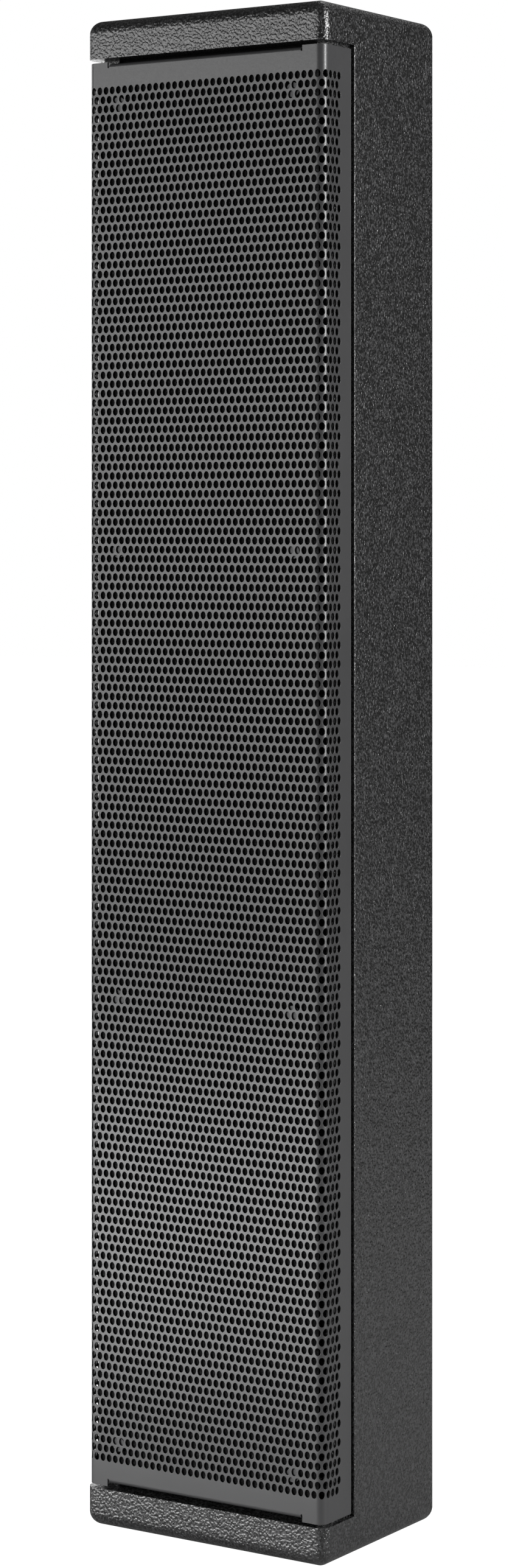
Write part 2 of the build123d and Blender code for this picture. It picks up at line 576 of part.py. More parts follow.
def pole_socket():
    """A closed steel cup for a loudspeaker pole, with a flange let into the bottom panel."""
    cup = rod_z(0, POLE_CENTRE_Y, 0.3, POLE_DEPTH + 2, POLE_RADIUS + POLE_WALL)
    cup += rod_z(0, POLE_CENTRE_Y, 0.3, POLE_FLANGE + 0.3, POLE_FLANGE_RADIUS)
    cup -= rod_z(0, POLE_CENTRE_Y, -1, POLE_DEPTH + 0.3, POLE_RADIUS)
    for x, y in around(POLE_SCREW_CIRCLE, SCREW_ANGLES):
        cup -= rod_z(x, y + POLE_CENTRE_Y, -1, POLE_FLANGE + 1, 2.2)
        cup -= rod_z(x, y + POLE_CENTRE_Y, -1, 2.0, 4.2)
    return cup


def pole_screws():
    screw = Rot(180, 0, 0) * pan_screw(3.8, 1.5, 1.9, 14)
    return union([Pos(x, y + POLE_CENTRE_Y, 2.0 - TOUCH) * screw for x, y in around(POLE_SCREW_CIRCLE, SCREW_ANGLES)])


# ---- write every node ---------------------------------------------------------------------------------
def at_each_driver(shape):
    return union([facing_front(shape, z) for z in DRIVER_Z])


def driver_screws():
    screw = pan_screw(3.6, 2.2, 1.9, 12)
    places = [(x, y, z) for z in DRIVER_Z for x, y in around(SCREW_CIRCLE, SCREW_ANGLES)]
    return union([facing_front(Pos(x, y, FLANGE_HIGH + TOUCH) * screw, z) for x, y, z in places])


def driver_baffle():
    panel = block(-INNER_HALF_W, INNER_HALF_W, BAFFLE_FRONT_Y, BAFFLE_BACK_Y, OPEN_LOW, OPEN_HIGH)
    for z in DRIVER_Z:
        panel -= rod_y(0, z, BAFFLE_FRONT_Y - 1, BAFFLE_BACK_Y + 1, CUTOUT_RADIUS)
        for x, dz in around(SCREW_CIRCLE, SCREW_ANGLES):
            panel -= rod_y(x, z + dz, BAFFLE_FRONT_Y - 1, BAFFLE_BACK_Y + 1, 2.0)
    for x, z in peg_places():
        panel -= rod_y(x, z, BAFFLE_FRONT_Y - 1, BAFFLE_FRONT_Y + 9.2, CUP_RADIUS + TOUCH)
    return panel


def rear_screw(x, z, face_y, head, shank, length):
    """A screw driven into the back from outside, with the underside of its head on face_y."""
    return Pos(x, face_y + TOUCH, z) * Rot(-90, 0, 0) * pan_screw(head, 1.6, shank, length, drive=1.3)


def main():
    os.makedirs("parts", exist_ok=True)
    save("top_panel", top_panel())
    save("bottom_panel", bottom_panel())
    save("left_side_panel", side_panel(-1))
    save("right_side_panel", side_panel(1))
    save("back_panel", back_panel())
    save("driver_baffle", driver_baffle())
    save("cabinet_braces", union([brace(z) for z in BRACE_Z]))
    save("damping_pads", damping_pads())
    save("grille", grille())
    save("grille_foam", grille_foam())
    save("grille_pegs", union([grille_peg(x, z) for x, z in peg_places()]))
    save("grille_peg_cups", union([peg_cup(x, z) for x, z in peg_places()]))
    save("bracket_inserts", union([bracket_insert(x, z) for x, z in insert_places()]))
    save("pole_socket", pole_socket())
    save("pole_socket_screws", pole_screws())
    save("input_plate", input_plate())
    save("input_plate_screws", union([rear_screw(x, z, PLATE_FACE_Y, 3.2, 1.6, 7) for x, z in plate_screw_places()]))
    for name, x in socket_places().items():
        save(f"input_socket_{name}", input_socket(x))
    flange_face = PLATE_FACE_Y + TOUCH + SOCKET_FLANGE
    save("input_socket_screws", union([rear_screw(sx, sz, flange_face, 2.4, 1.4, 7)
                                       for x in socket_places().values() for sx, sz in socket_screw_places(x)]))
    save("crossover_board", crossover_board())
    save("crossover_standoffs", crossover_standoffs())
    save("crossover_inductors", crossover_inductors())
    save("crossover_capacitors", crossover_capacitors())
    save("crossover_resistors", crossover_resistors())
    save("wiring_loom", wiring_loom())
    save("driver_screws", driver_screws())
    save("driver_gaskets", at_each_driver(driver_gasket()))
    save("driver_spiders", at_each_driver(spider()))
    save("driver_terminals", at_each_driver(driver_terminal()))
    pieces = {"basket": driver_basket(), "magnet": magnet_assembly(), "cone": driver_cone(),
              "voice_coil": voice_coil(), "surround": surround()}
    for number, z in enumerate(DRIVER_Z, start=1):
        for name, shape in pieces.items():
            save(f"driver_{number}_{name}", facing_front(shape, z))


main()
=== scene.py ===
"""Looks for the column line array loudspeaker: perforated grille, pebbled cabinet, foam, drivers and studio.

Sizes are in millimetres, as in the CAD part, and are turned into metres where a mesh is made.
"""
import math
import bpy
import numpy as np
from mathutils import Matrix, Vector, noise


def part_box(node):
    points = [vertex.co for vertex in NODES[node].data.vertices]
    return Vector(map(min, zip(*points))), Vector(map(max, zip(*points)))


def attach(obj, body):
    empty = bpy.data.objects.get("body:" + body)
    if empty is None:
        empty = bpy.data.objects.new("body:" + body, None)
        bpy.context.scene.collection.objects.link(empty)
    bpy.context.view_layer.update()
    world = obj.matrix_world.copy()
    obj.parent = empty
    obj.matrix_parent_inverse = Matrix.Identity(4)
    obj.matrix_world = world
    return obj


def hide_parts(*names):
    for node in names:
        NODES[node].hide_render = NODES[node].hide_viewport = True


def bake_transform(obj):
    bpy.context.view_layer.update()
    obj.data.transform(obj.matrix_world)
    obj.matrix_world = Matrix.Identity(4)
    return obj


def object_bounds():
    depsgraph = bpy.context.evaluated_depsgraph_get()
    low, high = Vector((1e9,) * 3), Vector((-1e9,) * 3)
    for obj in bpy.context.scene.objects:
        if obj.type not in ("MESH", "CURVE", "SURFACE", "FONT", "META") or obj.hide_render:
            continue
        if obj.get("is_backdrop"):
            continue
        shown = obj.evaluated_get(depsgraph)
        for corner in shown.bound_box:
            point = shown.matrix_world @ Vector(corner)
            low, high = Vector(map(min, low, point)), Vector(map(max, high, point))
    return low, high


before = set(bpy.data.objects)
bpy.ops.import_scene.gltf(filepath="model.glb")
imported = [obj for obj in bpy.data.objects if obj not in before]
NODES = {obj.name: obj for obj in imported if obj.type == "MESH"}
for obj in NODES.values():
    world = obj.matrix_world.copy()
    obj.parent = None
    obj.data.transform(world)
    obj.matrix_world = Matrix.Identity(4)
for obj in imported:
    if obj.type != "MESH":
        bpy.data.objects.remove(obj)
cad_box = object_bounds()

MM = 0.001

# ---- sizes shared with the CAD part ---------------------------------------------------------------------
GRILLE_SHEET = 1.2
GRILLE_FRONT_Y = -65.45
GRILLE_SIDE_X = 87.7
GRILLE_LOW, GRILLE_HIGH = 26.3, 920.0
BEND_RADIUS = 5.5
RETURN_DEPTH = 31.9
TOP_FLANGE_DROP, BOTTOM_FLANGE_DROP = 0.9, 2.0   # inside the ears; the CAD flanges share a drop of 2.3
FLANGE_DEPTH = 8.0
FLANGE_BEND_RADIUS = 2.4

BAFFLE_FRONT_Y = -48.25
DRIVER_PITCH = 140.0
DRIVER_COUNT = 6
CABINET_MIDDLE = 473.5

# ---- sizes of the perforation ---------------------------------------------------------------------------
HOLE_PITCH = 4.7625          # along a row
ROW_COUNT = 150
ROW_PITCH = 5.759
HOLES_IN_LONG_ROW = 44       # rows alternate between this many holes and one fewer
HOLE_HALF_WIDTH = 1.77
HOLE_HALF_HEIGHT = 2.38
BREAKOUT = 0.22              # how much wider a punched hole is at the back
RIM = 0.20                   # the powder coat's rounding at each hole
EDGE_ROUNDING = 0.22
BAND_COUNT = 5


# ---- mesh helpers ---------------------------------------------------------------------------------------
def mesh_object(name, points, faces, normals=None):
    """A smooth-shaded object from points in millimetres, with optional normals for each face corner."""
    mesh = bpy.data.meshes.new(name)
    mesh.from_pydata((np.asarray(points) * MM).tolist(), [], np.asarray(faces).tolist())
    mesh.polygons.foreach_set("use_smooth", [True] * len(mesh.polygons))
    if normals is not None:
        mesh.normals_split_custom_set(normals.reshape(-1, 3).tolist())
    mesh.update()
    thing = bpy.data.objects.new(name, mesh)
    bpy.context.scene.collection.objects.link(thing)
    return thing


def turned(name, profile, heights, steps=120):
    """One object with a closed (radius, height) profile turned round the front-back axis at each driver."""
    profile = np.asarray(profile)
    angles = np.arange(steps) * 2 * math.pi / steps
    radius = profile[None, :, 0] * np.ones((steps, 1))
    height = profile[None, :, 1] * np.ones((steps, 1))
    count = len(profile)
    a, j = np.meshgrid(np.arange(steps), np.arange(count), indexing="ij")
    corner = lambda da, dj: ((a + da) % steps * count + (j + dj) % count).ravel()
    ring = np.stack([corner(0, 0), corner(1, 0), corner(1, 1), corner(0, 1)], axis=1)
    points, faces = [], []
    for n, z in enumerate(heights):
        x, up = radius * np.sin(angles)[:, None], radius * np.cos(angles)[:, None]
        points.append(np.stack([x, BAFFLE_FRONT_Y - height, z + up], axis=-1).reshape(-1, 3))
        faces.append(ring + n * steps * count)
    return mesh_object(name, np.concatenate(points), np.concatenate(faces))


def soft_copy(node, name, voxel, rounding, fluff, grain):
    """A rounded, slightly uneven copy of a soft CAD solid, kept inside the solid's own box."""
    low, high = (np.array(corner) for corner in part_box(node))
    source = bpy.data.objects.new(name + "_source", NODES[node].data.copy())
    bpy.context.scene.collection.objects.link(source)
    remesh = source.modifiers.new("remesh", "REMESH")
    remesh.mode, remesh.voxel_size = "VOXEL", voxel * MM
    smooth = source.modifiers.new("smooth", "SMOOTH")
    smooth.iterations, smooth.factor = rounding, 0.5
    graph = bpy.context.evaluated_depsgraph_get()
    mesh = bpy.data.meshes.new_from_object(source.evaluated_get(graph))
    bpy.data.objects.remove(source)
    mesh.name = name
    places, normals = np.zeros(len(mesh.vertices) * 3), np.zeros(len(mesh.vertices) * 3)
    mesh.vertices.foreach_get("co", places)
    mesh.vertices.foreach_get("normal", normals)
    places = places.reshape(-1, 3)
    dips = np.array([0.5 + 0.5 * noise.noise(Vector(place)) for place in places / (grain * MM)])
    places -= normals.reshape(-1, 3) * dips[:, None] * fluff * MM
    mesh.vertices.foreach_set("co", np.clip(places, low, high).ravel())
    mesh.update()
    mesh.materials.clear()
    mesh.polygons.foreach_set("use_smooth", [True] * len(mesh.polygons))
    thing = bpy.data.objects.new(name, mesh)
    bpy.context.scene.collection.objects.link(thing)
    return thing


# ---- the folded sheet -----------------------------------------------------------------------------------
# A point of the sheet has a developed place (across, up) and a depth behind the outer face. Across is zero on
# the centre line, runs flat to the bends, round them at the neutral radius, and back along the side returns.
BEND_START = GRILLE_SIDE_X - BEND_RADIUS
NEUTRAL_RADIUS = BEND_RADIUS - GRILLE_SHEET / 2
BEND_END = BEND_START + NEUTRAL_RADIUS * math.pi / 2
SHEET_EDGE = BEND_END + RETURN_DEPTH - BEND_RADIUS
SHEET_MIDDLE = (GRILLE_LOW + GRILLE_HIGH) / 2
SHEET_HALF_HEIGHT = (GRILLE_HIGH - GRILLE_LOW) / 2
ROWS_HALF_HEIGHT = ROW_COUNT * ROW_PITCH / 2
FOLD_NEUTRAL = FLANGE_BEND_RADIUS - GRILLE_SHEET / 2
FOLD_LENGTH = FOLD_NEUTRAL * math.pi / 2
NOTCH_DEPTH = 0.3            # the relief cuts beside the end flanges reach this far below the fold
STEP = HOLE_PITCH / 4        # the lattice that the holes' cells share
FLANGE_HALF_WIDTH = 60 * STEP


def wrap(across, up, depth):
    """Places and outward normals of points of the plain sheet."""
    side = np.sign(across)
    run = np.abs(across)
    turn = np.clip((run - BEND_START) / NEUTRAL_RADIUS, 0, math.pi / 2)
    radius = BEND_RADIUS - depth
    x = np.minimum(run, BEND_START) + radius * np.sin(turn)
    y = GRILLE_FRONT_Y + BEND_RADIUS - radius * np.cos(turn) + np.maximum(run - BEND_END, 0)
    normal = np.stack([side * np.sin(turn), -np.cos(turn), 0 * turn], axis=-1)
    return np.stack([side * x, y, up + 0 * x], axis=-1), normal


def fold_start(end):
    """How far from the sheet's middle its flange starts to fold, at the top (1) or the bottom (-1)."""
    drop = np.where(end > 0, TOP_FLANGE_DROP, BOTTOM_FLANGE_DROP)
    return SHEET_HALF_HEIGHT - drop - FLANGE_BEND_RADIUS


def fold(across, up, depth):
    """Places and outward normals of points of an end flange, which folds back at the sheet's end."""
    end = np.sign(up - SHEET_MIDDLE)
    run = np.abs(up - SHEET_MIDDLE)
    start = fold_start(end)
    turn = np.clip((run - start) / FOLD_NEUTRAL, 0, math.pi / 2)
    radius = FLANGE_BEND_RADIUS - depth
    rise = np.minimum(run, start) + radius * np.sin(turn)
    y = GRILLE_FRONT_Y + FLANGE_BEND_RADIUS - radius * np.cos(turn) + np.maximum(run - start - FOLD_LENGTH, 0)
    normal = np.stack([0 * turn, -np.cos(turn), end * np.sin(turn)], axis=-1)
    return np.stack([across + 0 * y, y, SHEET_MIDDLE + end * rise], axis=-1), normal


class Sheet:
    """Collects quads of a folded sheet with a normal for each corner, then closes its edges."""

    def __init__(self):
        self.points, self.quads, self.normals, self.twins, self.inside = [], [], [], [], []
        self.count = 0

    def add_points(self, places):
        places = places.reshape(-1, 3)
        first = self.count
        self.points.append(places)
        self.count += len(places)
        return np.arange(first, self.count)

    def add_quads(self, corners, normals, inside_hole=False):
        self.quads.append(corners.reshape(-1, 4))
        self.normals.append(normals.reshape(-1, 4, 3))
        self.inside.append(np.full(corners.size // 4, inside_hole))

    def patch(self, across, up, across_depth, up_depth, place):
        """A plain grid of the sheet, front and back. Depths round off the front at the sheet's own edges."""
        grid_a, grid_u = np.meshgrid(across, up)
        depth = np.maximum(*np.meshgrid(across_depth, up_depth))
        spots, outward = place(grid_a, grid_u, depth)
        front = self.add_points(spots).reshape(grid_a.shape)
        back = self.add_points(place(grid_a, grid_u, GRILLE_SHEET)[0]).reshape(grid_a.shape)
        self.twins.append(np.stack([front.ravel(), back.ravel()], axis=1))
        for layer, sign in ((front, 1), (back, -1)):
            square = [layer[:-1, :-1], layer[:-1, 1:], layer[1:, 1:], layer[1:, :-1]]
            facing = [outward[:-1, :-1], outward[:-1, 1:], outward[1:, 1:], outward[1:, :-1]]
            self.add_quads(np.stack(square[::sign], axis=-1), sign * np.stack(facing[::sign], axis=-2))

    def row(self, middle, long_row):
        """One row of holes, each in a cell of the brick pattern that it shares with its neighbours."""
        half = ROW_PITCH / 2
        holes = np.arange(HOLES_IN_LONG_ROW if long_row else HOLES_IN_LONG_ROW - 1)
        centre = (holes - holes.mean()) * HOLE_PITCH
        steps = np.array([2, 2, 1, 0, -1, -2, -2, -2, -1, 0, 1, 2])
        rises = np.array([0, 1, 1, 1, 1, 1, 0, -1, -1, -1, -1, -1])
        cell_a = centre[:, None] + steps * STEP
        cell_u = middle + rises * half + 0 * cell_a
        angle = np.arange(12) * math.pi / 6
        cos, sin = np.cos(angle), np.sin(angle)

        def oval(grow):
            return centre[:, None] + (HOLE_HALF_WIDTH + grow) * cos, middle + (HOLE_HALF_HEIGHT + grow) * sin

        outer, outward = wrap(cell_a, cell_u, 0.0)
        lip, lip_normal = wrap(*oval(RIM), 0.0)
        high, hole_out = wrap(*oval(0), RIM)
        low, low_out = wrap(*oval(BREAKOUT), GRILLE_SHEET)
        rear, rear_out = wrap(cell_a, cell_u, GRILLE_SHEET)
        along = np.stack([-hole_out[..., 1], hole_out[..., 0], 0 * hole_out[..., 0]], axis=-1)
        inward = -(cos / HOLE_HALF_WIDTH)[:, None] * along - np.array([0, 0, 1]) * (sin / HOLE_HALF_HEIGHT)[:, None]
        inward /= np.linalg.norm(inward, axis=-1, keepdims=True)

        def after(values):
            return np.roll(values, -1, axis=1)

        # each ring's points, its normals as the outer end of a strip, and as the inner end of the next
        rings = [(outer, outward, outward), (lip, lip_normal, lip_normal), (high, inward, inward),
                 (low, inward, -low_out), (rear, -rear_out, -rear_out)]
        ids = [self.add_points(ring[0]).reshape(cell_a.shape) for ring in rings]
        self.twins.append(np.stack([ids[0].ravel(), ids[-1].ravel()], axis=1))
        for n in range(len(rings) - 1):
            near, far = ids[n], ids[n + 1]
            near_facing, far_facing = rings[n][2], rings[n + 1][1]
            self.add_quads(np.stack([near, after(near), after(far), far], axis=-1),
                           np.stack([near_facing, after(near_facing), after(far_facing), far_facing], axis=-2),
                           inside_hole=(n == 2))

    def finish(self, name):
        """Joins shared points, walls up the open edges and makes the object."""
        points = np.concatenate(self.points)
        _, first, same = np.unique(np.round(points, 4), axis=0, return_index=True, return_inverse=True)
        same = same.ravel()
        quads, normals = same[np.concatenate(self.quads)], np.concatenate(self.normals)
        twins = np.full(len(first), -1)
        pairs = np.concatenate(self.twins)
        twins[same[pairs[:, 0]]] = same[pairs[:, 1]]
        starts, ends = quads.ravel(), np.roll(quads, -1, axis=1).ravel()
        size = len(first)
        open_edges = ~np.isin(starts * size + ends, ends * size + starts)
        a, b = starts[open_edges], ends[open_edges]
        on_front = (twins[a] >= 0) & (twins[b] >= 0)
        a, b = a[on_front], b[on_front]
        walls = np.stack([b, a, twins[a], twins[b]], axis=1)
        places = points[first]
        facing = np.cross(places[a] - places[b], places[twins[a]] - places[a])
        facing /= np.linalg.norm(facing, axis=1, keepdims=True)
        walls_facing = np.repeat(facing[:, None, :], 4, axis=1)
        band = mesh_object(name, places, np.concatenate([quads, walls]), np.concatenate([normals, walls_facing]))
        inside = np.concatenate([*self.inside, np.zeros(len(walls), bool)])
        # Quads inside the holes take the second material, which is painted near black as painted shade.
        band.data.polygons.foreach_set("material_index", inside.astype(np.int32))
        return band


def ordered(values, depths):
    order = np.argsort(values)
    return values[order], depths[order]


def grille_band(number):
    """One share of the sheet's height: its rows of holes, its side strips and, at an end, the ears and flange."""
    sheet = Sheet()
    rows = ROW_COUNT // BAND_COUNT
    rows_edge = HOLES_IN_LONG_ROW * HOLE_PITCH / 2
    strip = np.array([rows_edge, (rows_edge + SHEET_EDGE) / 2, SHEET_EDGE - EDGE_ROUNDING, SHEET_EDGE])
    strip_depth = np.array([0, 0, 0, EDGE_ROUNDING])
    filler = rows_edge - STEP * np.array([2, 1])
    for row in range(number * rows, (number + 1) * rows):
        low = SHEET_MIDDLE - ROWS_HALF_HEIGHT + row * ROW_PITCH
        long_row = row % 2 == 1
        sheet.row(low + ROW_PITCH / 2, long_row)
        levels = low + ROW_PITCH * np.array([0, 0.5, 1])
        columns = strip if long_row else np.concatenate([filler, strip])
        depths = strip_depth if long_row else np.concatenate([[0, 0], strip_depth])
        for side in (-1, 1):
            across, depth = ordered(side * columns, depths)
            sheet.patch(across, levels, depth, np.zeros(3), wrap)
    if number in (0, BAND_COUNT - 1):
        sheet_end(sheet, 1 if number else -1, strip[1:], strip_depth[1:])
    return sheet.finish(f"grille_band_{number + 1}")


def sheet_end(sheet, end, strip, strip_depth):
    """The margin past the last row, the plain ears beside the bends and the folded flange between them."""
    lattice = STEP * np.arange(-2 * HOLES_IN_LONG_ROW, 2 * HOLES_IN_LONG_ROW + 1)
    columns = np.concatenate([-strip[::-1], lattice, strip])
    depths = np.concatenate([strip_depth[::-1], 0 * lattice, strip_depth])
    start = float(fold_start(end))
    notch = start - NOTCH_DEPTH

    margin, none = ordered(SHEET_MIDDLE + end * np.array([ROWS_HALF_HEIGHT, notch]), np.zeros(2))
    sheet.patch(columns, margin, depths, none, wrap)

    ear = np.array([notch, SHEET_HALF_HEIGHT - EDGE_ROUNDING, SHEET_HALF_HEIGHT])
    ear, ear_depth = ordered(SHEET_MIDDLE + end * ear, np.array([0, 0, EDGE_ROUNDING]))
    for beside in (columns < -FLANGE_HALF_WIDTH - STEP / 2, columns > FLANGE_HALF_WIDTH + STEP / 2):
        sheet.patch(columns[beside], ear, depths[beside], ear_depth, wrap)

    turn = start + FOLD_LENGTH * np.linspace(0, 1, 6)
    back = FLANGE_DEPTH - FLANGE_BEND_RADIUS
    run = np.concatenate([[notch], turn, turn[-1] + np.array([back - EDGE_ROUNDING, back])])
    rounding = np.concatenate([np.zeros(len(run) - 1), [EDGE_ROUNDING]])
    run, rounding = ordered(SHEET_MIDDLE + end * run, rounding)
    between = np.abs(columns) < FLANGE_HALF_WIDTH + STEP / 2
    sheet.patch(columns[between], run, depths[between], rounding, fold)


# ---- finishes -------------------------------------------------------------------------------------------
def node(tree, kind, **values):
    """Adds a shader node. A name with a capital is an input, which takes a value or a link; others are settings."""
    made = tree.nodes.new("ShaderNode" + kind)
    for name, value in values.items():
        if name[0].islower():
            setattr(made, name, value)
            continue
        target = made.inputs[name.replace("_", " ")]
        if isinstance(value, bpy.types.NodeSocket):
            tree.links.new(value, target)
        else:
            target.default_value = value
    return made


def start_finish(name):
    """A new material with its shader and the object coordinates, which are the row frame in metres."""
    material = bpy.data.materials.new(name)
    material.use_nodes = True
    tree = material.node_tree
    tree.nodes.clear()
    shader = node(tree, "BsdfPrincipled")
    out = node(tree, "OutputMaterial", Surface=shader.outputs["BSDF"])
    out.is_active_output = True
    return material, tree, shader, node(tree, "TexCoord").outputs["Object"]


def blend_colours(tree, factor, colour_a, colour_b):
    mix = node(tree, "Mix", data_type="RGBA")
    mix.inputs[6].default_value, mix.inputs[7].default_value = (*colour_a, 1), (*colour_b, 1)
    tree.links.new(factor, mix.inputs[0])
    return mix.outputs[2]


def spread(tree, value, low, high, start=0.0, end=1.0):
    return node(tree, "MapRange", Value=value, From_Min=start, From_Max=end, To_Min=low, To_Max=high).outputs[0]


def grain_noise(tree, coords, size, detail=3.0, distortion=0.0):
    """Noise whose features are about size millimetres across."""
    return node(tree, "TexNoise", Vector=coords, Scale=1 / (size * MM), Detail=detail,
                Distortion=distortion).outputs[0]


def cells(tree, coords, size, feature="F1"):
    return node(tree, "TexVoronoi", feature=feature, Vector=coords, Scale=1 / (size * MM)).outputs["Distance"]


def raise_surface(tree, shader, height, depth):
    """Bumps the shader by a 0 to 1 height over depth millimetres."""
    bump = node(tree, "Bump", Height=height, Distance=depth * MM, Strength=1.0)
    tree.links.new(bump.outputs[0], shader.inputs["Normal"])


def add_scaled(tree, value, factor, rest):
    """The value times the factor, plus the rest."""
    total = node(tree, "Math", operation="MULTIPLY_ADD")
    tree.links.new(value, total.inputs[0])
    total.inputs[1].default_value = factor
    tree.links.new(rest, total.inputs[2])
    return total.outputs[0]


def plain_finish(name, dark, light, patch, rough, grain, depth, metallic=0.0, specular=0.5, sheen=0.0, coat=0.0,
                 stretch=(1, 1, 1)):
    """Colour and roughness that drift over patches, with a fine grain in the surface. Sizes in millimetres."""
    material, tree, shader, coords = start_finish(name)
    coords = node(tree, "Mapping", Vector=coords, Scale=stretch).outputs[0]
    drift = grain_noise(tree, coords, patch)
    fine = grain_noise(tree, coords, grain, 4.0)
    tree.links.new(blend_colours(tree, drift, dark, light), shader.inputs["Base Color"])
    tree.links.new(spread(tree, fine, *rough, 0.3, 0.7), shader.inputs["Roughness"])
    raise_surface(tree, shader, fine, depth)
    shader.inputs["Metallic"].default_value = metallic
    shader.inputs["Specular IOR Level"].default_value = specular
    shader.inputs["Sheen Weight"].default_value = sheen
    shader.inputs["Coat Weight"].default_value = coat
    return material


def cabinet_coating():
    """Sprayed black polyurea: crowded flat-topped pebbles with steep small pits between them."""
    material, tree, shader, coords = start_finish("cabinet_coating")
    pebble = cells(tree, coords, 1.5, "SMOOTH_F1")
    plateau = node(tree, "MapRange", interpolation_type="SMOOTHSTEP", Value=pebble, From_Min=0.22, From_Max=0.62,
                   To_Min=1.0, To_Max=0.0).outputs[0]
    broad = grain_noise(tree, coords, 2.0, 2.0)
    fine = grain_noise(tree, coords, 0.6, 2.0)
    lumps = add_scaled(tree, broad, 1.1, plateau)
    height = add_scaled(tree, fine, 0.35, lumps)
    speck = spread(tree, grain_noise(tree, coords, 1.5, 3.0), 0.0, 1.0, 0.45, 0.63)
    tree.links.new(blend_colours(tree, speck, (0.002, 0.002, 0.002), (0.028, 0.028, 0.029)),
                   shader.inputs["Base Color"])
    tree.links.new(spread(tree, speck, 0.26, 0.42), shader.inputs["Roughness"])
    shader.inputs["Specular IOR Level"].default_value = 0.85
    raise_surface(tree, shader, height, 0.2)
    return material


def grille_coating():
    """Satin powder coat: a shallow orange peel over smooth steel, a little lighter where it is thin."""
    material, tree, shader, coords = start_finish("grille_coating")
    peel = grain_noise(tree, coords, 0.9, 2.0)
    drift = grain_noise(tree, coords, 60, 2.0)
    tree.links.new(blend_colours(tree, drift, (0.030, 0.030, 0.031), (0.040, 0.040, 0.041)),
                   shader.inputs["Base Color"])
    tree.links.new(spread(tree, peel, 0.33, 0.42, 0.3, 0.7), shader.inputs["Roughness"])
    shader.inputs["Specular IOR Level"].default_value = 0.6
    raise_surface(tree, shader, peel, 0.02)
    return material


def bare_plywood():
    """Birch plywood: streaked pale faces along the height."""
    material, tree, shader, coords = start_finish("bare_plywood")
    streak = node(tree, "Mapping", Vector=coords, Scale=(1, 1, 0.06)).outputs[0]
    figure = grain_noise(tree, streak, 5, 5.0, 0.6)
    pores = grain_noise(tree, streak, 0.7, 2.0)
    tree.links.new(blend_colours(tree, figure, (0.42, 0.27, 0.14), (0.66, 0.48, 0.29)), shader.inputs["Base Color"])
    tree.links.new(spread(tree, pores, 0.5, 0.72, 0.3, 0.7), shader.inputs["Roughness"])
    raise_surface(tree, shader, pores, 0.06)
    return material


def woven(name, dark, light, pitch, depth):
    """Cloth with crossed threads, pitch millimetres apart."""
    material, tree, shader, coords = start_finish(name)
    threads = []
    for direction in ("X", "Z"):
        wave = node(tree, "TexWave", bands_direction=direction, Vector=coords, Scale=math.pi / (10 * pitch * MM),
                    Distortion=0.8, Detail=1.0)
        threads.append(wave.outputs["Fac"])
    weave = node(tree, "Math", operation="MAXIMUM")
    for thread, socket in zip(threads, weave.inputs):
        tree.links.new(thread, socket)
    drift = grain_noise(tree, coords, 8)
    tree.links.new(blend_colours(tree, drift, dark, light), shader.inputs["Base Color"])
    tree.links.new(spread(tree, weave.outputs[0], 0.95, 0.7), shader.inputs["Roughness"])
    raise_surface(tree, shader, weave.outputs[0], depth)
    return material


def open_cell_foam():
    """Charcoal foam: the open cells are painted near black as painted shade and the cell walls a lighter charcoal,
    smoother and raised so that they catch a little light.
    """
    material, tree, shader, coords = start_finish("open_cell_foam")
    walls = cells(tree, coords, 0.8, "DISTANCE_TO_EDGE")
    walls_over_painted_cell_shade = spread(tree, walls, 1.0, 0.0, 0.0, 0.18)
    # Painted shade: the open cells are near black, and the walls keep the foam's charcoal.
    tree.links.new(blend_colours(tree, walls_over_painted_cell_shade, (0.003, 0.003, 0.003), (0.020, 0.020, 0.021)),
                   shader.inputs["Base Color"])
    tree.links.new(spread(tree, walls_over_painted_cell_shade, 0.95, 0.6), shader.inputs["Roughness"])
    shader.inputs["Specular IOR Level"].default_value = 0.15
    raise_surface(tree, shader, walls_over_painted_cell_shade, 0.35)
    return material


